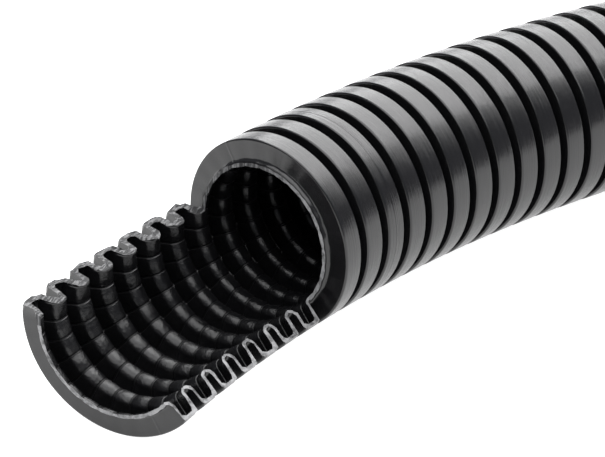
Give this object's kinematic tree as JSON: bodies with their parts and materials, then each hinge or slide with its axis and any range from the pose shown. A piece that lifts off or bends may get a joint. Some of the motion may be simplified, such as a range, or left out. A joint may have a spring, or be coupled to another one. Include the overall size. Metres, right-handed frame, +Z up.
{
  "type": "corrugated conduit",
  "caption": "Length of black corrugated plastic conduit, gently bent and cut open at its near end to show the bore; cables are drawn through it and fittings clip over its plain end.",
  "frame": {"origin": "on the floor, under the middle of the whole outline seen from above", "axes": "+Z up; +X along the straight run, away from the bend and the cut-away; the bend curves from -Y towards the straight run"},
  "size_m": [0.9994, 0.048, 0.025],
  "materials": {
    "black_plastic": "black extruded plastic with a satin gloss, paler and rough where it is cut"
  },
  "bodies": {
    "root": {"conduit": "black_plastic"}
  },
  "joints": []
}
